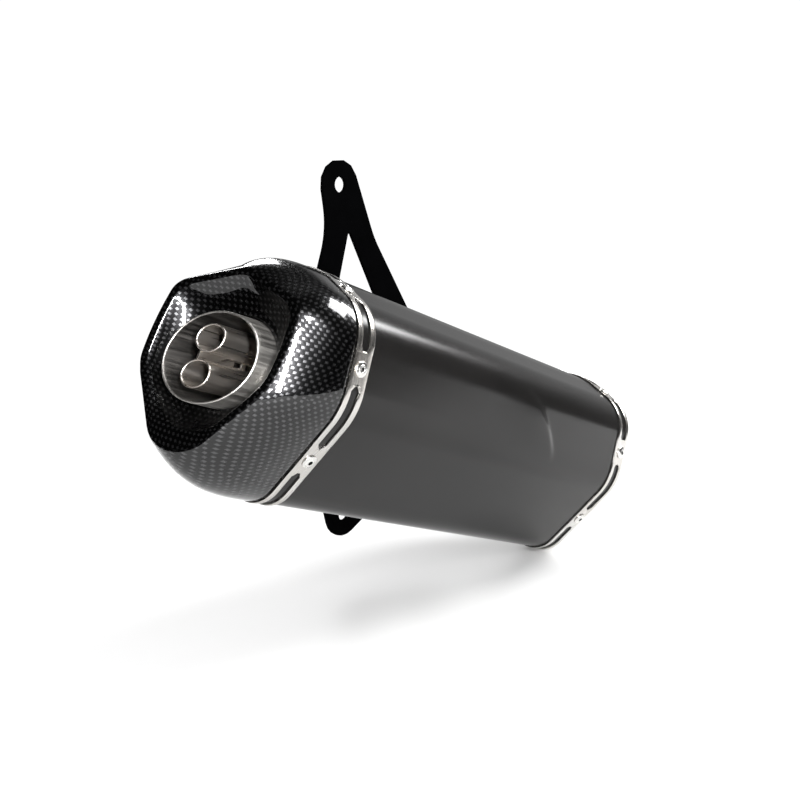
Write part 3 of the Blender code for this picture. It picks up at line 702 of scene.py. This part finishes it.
def band_marks(track, centres):
    """Distances at which the band's strips start: evenly spaced, and closer round each slot's ends."""
    marks = set(round(track.total * k / BAND_STEPS, 7) for k in range(BAND_STEPS))
    for centre, following in zip(centres, centres[1:] + [centres[0] + track.total]):
        for end, way in ((centre + LAND_L / 2, 1), (following - LAND_L / 2, -1)):
            for share in SLOT_MARKS:
                marks.add(round((end + way * share * SLOT_W / 2) % track.total, 7))
    return sorted(marks)


def rail_row(point, normal, half, middle_x, way):
    """Points across one rail, from the slot out to the band's edge; its free edges roll inwards."""
    row = []
    for k in range(RAIL_STEPS + 1):
        share = k / RAIL_STEPS
        x = middle_x + way * (half + (BAND_W / 2 - half) * share)
        rolled = ROLLED_EDGE * (abs(2 * share - 1) ** 5 if half else share**10)
        spot = point - normal * rolled
        row.append((x, spot.x, spot.y))
    return row


def make_band(name, node, middle_x, round_ends):
    """Two rails with rolled edges that meet on the riveted lands and part around the slots."""
    corners = shrunk(BODY, -BAND_LIFT)
    track = Track(rounded(corners))
    centres = sorted(track.nearest(point) for point, _ in facet_middles(corners))
    columns = []
    for distance in band_marks(track, centres):
        from_rivet = min(abs(math.remainder(distance - centre, track.total)) for centre in centres)
        columns.append((*track.at(distance), slot_half(from_rivet - LAND_L / 2, round_ends)))
    shape = bmesh.new()
    for way in (-1, 1):
        rows = [[shape.verts.new(spot) for spot in rail_row(*column, middle_x, way)] for column in columns]
        for last, row in zip(rows[-1:] + rows[:-1], rows):
            for k in range(RAIL_STEPS):
                face = (last[k], last[k + 1], row[k + 1], row[k])
                shape.faces.new(face if way == 1 else face[::-1])
    bmesh.ops.remove_doubles(shape, verts=shape.verts, dist=1e-6)
    mesh = bpy.data.meshes.new(name)
    shape.to_mesh(mesh)
    shape.free()
    mesh.shade_smooth()
    band = finish_piece(name, mesh, BAND_STEEL)
    solidify(band, BAND_T, 1.0)
    bevel(band, 0.12 * MM, 50)
    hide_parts(node)


def make_rivets(prefix, middle_x):
    """Open blind rivets: a low flange with a raised collar round the bore."""
    top = RIVET_LIFT + RIVET_HEAD_H
    profile = [(RIVET_BORE_R, -RIVET_TAIL)]
    profile += [(RIVET_BORE_R + out * MM, top + drop * MM) for out, drop in RIVET_COLLAR]
    profile += [(RIVET_HEAD_R + out * MM, top + drop * MM) for out, drop in RIVET_RIM]
    profile += [(RIVET_R, RIVET_LIFT), (RIVET_R, -RIVET_TAIL)]
    face = shrunk(BODY, -BAND_LIFT - BAND_T)
    for number, (point, normal) in enumerate(facet_middles(face), 1):
        matrix = pointing((middle_x, *point), (0.0, *normal))
        rivet = turned(f"{prefix}_{number}_fine", profile, RIVET_SIDES, RIVET_STEEL, matrix)
        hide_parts(f"{prefix}_{number}")


# ---------------------------------------------------------------- outlet


def wall_rings(radius, sides, centre, end_x):
    """From near the slash plane to the far end, closest together at the slash."""
    rings = []
    for k in range(1, TUBE_STEPS + 1):
        share = (k / TUBE_STEPS) ** TUBE_CLOSING
        ring = []
        for point in circle(radius, sides, centre):
            near = rake(*point)
            ring.append(Vector((near + TUBE_RIM_SPACE + (end_x - near) * share, *point)))
        rings.append(ring)
    return rings


def slashed_tube(name, node, look, radius, wall, centre, end_x, sides):
    """A tube whose near end is cut by the slash plane, with a rounded rim."""
    rings = wall_rings(radius, sides, centre, end_x)[::-1]
    rounding = wall / 2
    for k in range(TUBE_RIM_STEPS + 1):
        turn = math.pi * k / TUBE_RIM_STEPS
        loop = circle(radius - rounding * (1 - math.cos(turn)), sides, centre)
        rings.append(raked_ring(loop, rounding * (1 - math.sin(turn))))
    rings += wall_rings(radius - wall, sides, centre, end_x)
    tube = loft(name, rings, look, wrap=True)
    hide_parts(node)


def make_outlet():
    """The outlet tube and the two small pipes inside it."""
    outer = (OUTLET_STEEL, TUBE_R, TUBE_T, (0.0, 0.0), TUBE_END_X, TUBE_SIDES)
    slashed_tube("outlet_tube_fine", "outlet_tube", *outer)
    for place, rise in (("upper", TIP_RISE), ("lower", -TIP_RISE)):
        tip = (TUBE_STEEL, TIP_R, TIP_T, (TIP_Y, rise), TIP_END_X, TIP_SIDES)
        slashed_tube(f"{place}_tip_fine", f"{place}_tip_pipe", *tip)


# ---------------------------------------------------------------- inlet


def make_inlet_cap():
    """Skirt, domed end and the short neck round the inlet pipe."""
    skirt = rounded(shrunk(BODY, SKIRT_INSET))
    neck = [point.normalized() * (PIPE_R + NECK_PLAY + PRESSED_T) for point in skirt]
    foot = ring_at(skirt, REAR_EDGE_X - INLET_TUCK)
    top = ring_at(neck, CAP_NECK_X - NECK_BLEND)
    rings = [ring_at(skirt, REAR_BAND_X - BAND_W / 2), foot]
    rings += [domed(foot, top, height, INLET_DOME) for height in reversed(dome_heights())]
    rings += [ring_at(neck, CAP_NECK_X + offset * MM) for offset in NECK_RINGS]
    cap = loft("inlet_cap_fine", rings, INLET_STEEL)
    solidify(cap, PRESSED_T, -1.0)
    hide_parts("inlet_cap")


# ---------------------------------------------------------------- carried-over solids


def dress(nodes, look, width):
    """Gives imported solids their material, welded smooth surfaces and softened edges."""
    for name in nodes:
        node = frame["nodes"][name]
        node.data.materials.clear()
        node.data.materials.append(look)
        node.data.shade_smooth()
        node.modifiers.new("weld", "WELD").merge_threshold = WELD_GAP
        bevel(node, width, 30)


def dress_solids():
    """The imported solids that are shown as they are, material by material."""
    dress(["bracket_plate", "bracket_boss_1", "bracket_boss_2"], POWDER, 0.35 * MM)
    dress(["clamp_band", "inlet_pipe"], INLET_STEEL, 0.15 * MM)
    fasteners = [name for name in frame["nodes"] if "bolt" in name or "washer" in name]
    dress(fasteners + ["clamp_screw", "clamp_nut"], ZINC, 0.2 * MM)
    dress(["tip_web", "outlet_baffle"], TUBE_STEEL, 0.1 * MM)
    dress(["outlet_bulkhead", "front_baffle", "mid_baffle", "perforated_core"], INNER_STEEL, 0.1 * MM)
    dress(["wool_packing"], WOOL, 0.5 * MM)
    dress(["inlet_seal"], GRAPHITE, 0.2 * MM)


# ---------------------------------------------------------------- camera, light and floor

CAMERA_AZIMUTH = math.radians(-48.3)
CAMERA_ELEVATION = math.radians(11.8)
CAMERA_LENS = 48.6
RIM_DEPTH = 604.8 * MM
RIM_LEFT = 107.0 * MM
RIM_UP = 24.3 * MM
# Where the white backdrop of the reflections stands, and the cosines between which it fades in.
BACKDROP_HEADING = math.radians(15.0)
BACKDROP_EDGE = (0.8, 0.95)
# How bright the world is in reflections, off and on the backdrop, as fill light and to the camera.
STUDIO_DARK = 0.012
BACKDROP_BRIGHT = 0.42
FILL = 0.88
SEEN = 1.05
FLOOR_HALF = (0.8, 0.55)
FLOOR_CENTRE = (0.1, -0.1)
FLOOR_DROP = 0.5 * MM
LIGHTS_AIM = Vector((0.0, 0.0, 0.17))


def make_camera():
    """Looks at the outlet from behind and outboard; the rim's centre sits left of and above the middle."""
    across = math.sin(CAMERA_AZIMUTH)
    away = -math.cos(CAMERA_AZIMUTH)
    level = math.cos(CAMERA_ELEVATION)
    back = Vector((across * level, away * level, math.sin(CAMERA_ELEVATION)))
    right = Vector((0, 0, 1)).cross(back).normalized()
    up = back.cross(right)
    data = bpy.data.cameras.new("camera")
    data.lens = CAMERA_LENS
    data.sensor_width = 36.0
    data.clip_start = 0.01
    camera = bpy.data.objects.new("camera", data)
    bpy.context.scene.collection.objects.link(camera)
    matrix = Matrix((right, up, back)).transposed().to_4x4()
    matrix.translation = ORIGIN + back * RIM_DEPTH + right * RIM_LEFT - up * RIM_UP
    camera.matrix_world = matrix
    bpy.context.scene.camera = camera


def make_floor():
    """Plain and pale, just under the object."""
    g = Graph(bpy.data.materials.new("floor"))
    mottle = g.colours(g.noise(3.0), (0.74, 0.74, 0.74), (0.78, 0.78, 0.78))
    g.surface(Base_Color=mottle, Roughness=0.9, Specular_IOR_Level=0.1)
    shape = bmesh.new()
    bmesh.ops.create_grid(shape, x_segments=12, y_segments=12, size=1.0)
    mesh = bpy.data.meshes.new("floor")
    shape.to_mesh(mesh)
    shape.free()
    mesh.materials.append(g.owner)
    floor = bpy.data.objects.new("floor", mesh)
    bpy.context.scene.collection.objects.link(floor)
    floor.scale = (*FLOOR_HALF, 1.0)
    floor.location = (*FLOOR_CENTRE, -FLOOR_DROP)


def softbox(name, heading, elevation, distance, size, radiance, gloss_only=False):
    """A rectangular light aimed at the object's middle, with its size across and up.

    Heading and elevation are in degrees. One that is `gloss_only` shows in reflections but lights nothing.
    """
    turn = (math.radians(heading), math.radians(elevation))
    level = math.cos(turn[1])
    way = Vector((math.cos(turn[0]) * level, math.sin(turn[0]) * level, math.sin(turn[1])))
    data = bpy.data.lights.new(name, "AREA")
    data.shape = "RECTANGLE"
    data.size, data.size_y = size
    data.energy = radiance * math.pi * size[0] * size[1]
    light = bpy.data.objects.new(name, data)
    bpy.context.scene.collection.objects.link(light)
    light.location = LIGHTS_AIM + way * distance
    light.rotation_euler = way.to_track_quat("Z", "Y").to_euler()
    light.visible_camera = False
    light.visible_diffuse = not gloss_only


def make_world():
    """White to the camera and as fill light; reflections see a white backdrop in an otherwise dark studio."""
    world = bpy.data.worlds.new("studio")
    bpy.context.scene.world = world
    g = Graph(world, "Background")
    direction = g.add("TexCoord").outputs["Generated"]
    heading = Vector((math.cos(BACKDROP_HEADING), math.sin(BACKDROP_HEADING), 0.0))
    facing = g.add("VectorMath", {"operation": "DOT_PRODUCT"}, **{"0": direction, "1": heading})
    backdrop = g.ramp(facing.outputs["Value"], *BACKDROP_EDGE, STUDIO_DARK, BACKDROP_BRIGHT)
    path = g.add("LightPath")
    seen = g.math("MULTIPLY", path.outputs["Is Camera Ray"], SEEN)
    fill = g.math("MULTIPLY", path.outputs["Is Diffuse Ray"], FILL)
    g.surface(Color=(1.0, 1.0, 1.0, 1.0), Strength=g.math("MAXIMUM", g.math("MAXIMUM", backdrop, seen), fill))


def make_lights():
    """Soft lights high up, and a strip low on the outboard side whose reflection runs along the sleeve."""
    softbox("high_front", -20.0, 34.0, 1.8, (0.55, 0.75), 23.0)
    softbox("shoulder", -38.0, 50.0, 1.7, (0.9, 0.7), 18.0, gloss_only=True)
    softbox("strip", -124.0, 16.0, 1.8, (0.09, 1.3), 90.0)
    softbox("strip_gloss", -124.0, 16.0, 1.75, (0.09, 1.3), 260.0, gloss_only=True)
    softbox("high_back", 60.0, 42.0, 1.8, (0.5, 1.0), 8.0)
    softbox("high_back_gloss", 60.0, 42.0, 1.75, (0.5, 1.0), 20.0, gloss_only=True)


bpy.context.scene.view_settings.view_transform = "Standard"
make_end_cap()
make_sleeve()
make_band("front_band_fine", "front_band", FRONT_BAND_X, False)
make_band("rear_band_fine", "rear_band", REAR_BAND_X, True)
make_rivets("front_rivet", FRONT_BAND_X)
make_rivets("rear_rivet", REAR_BAND_X)
make_outlet()
make_inlet_cap()
dress_solids()
make_camera()
make_floor()
make_world()
make_lights()
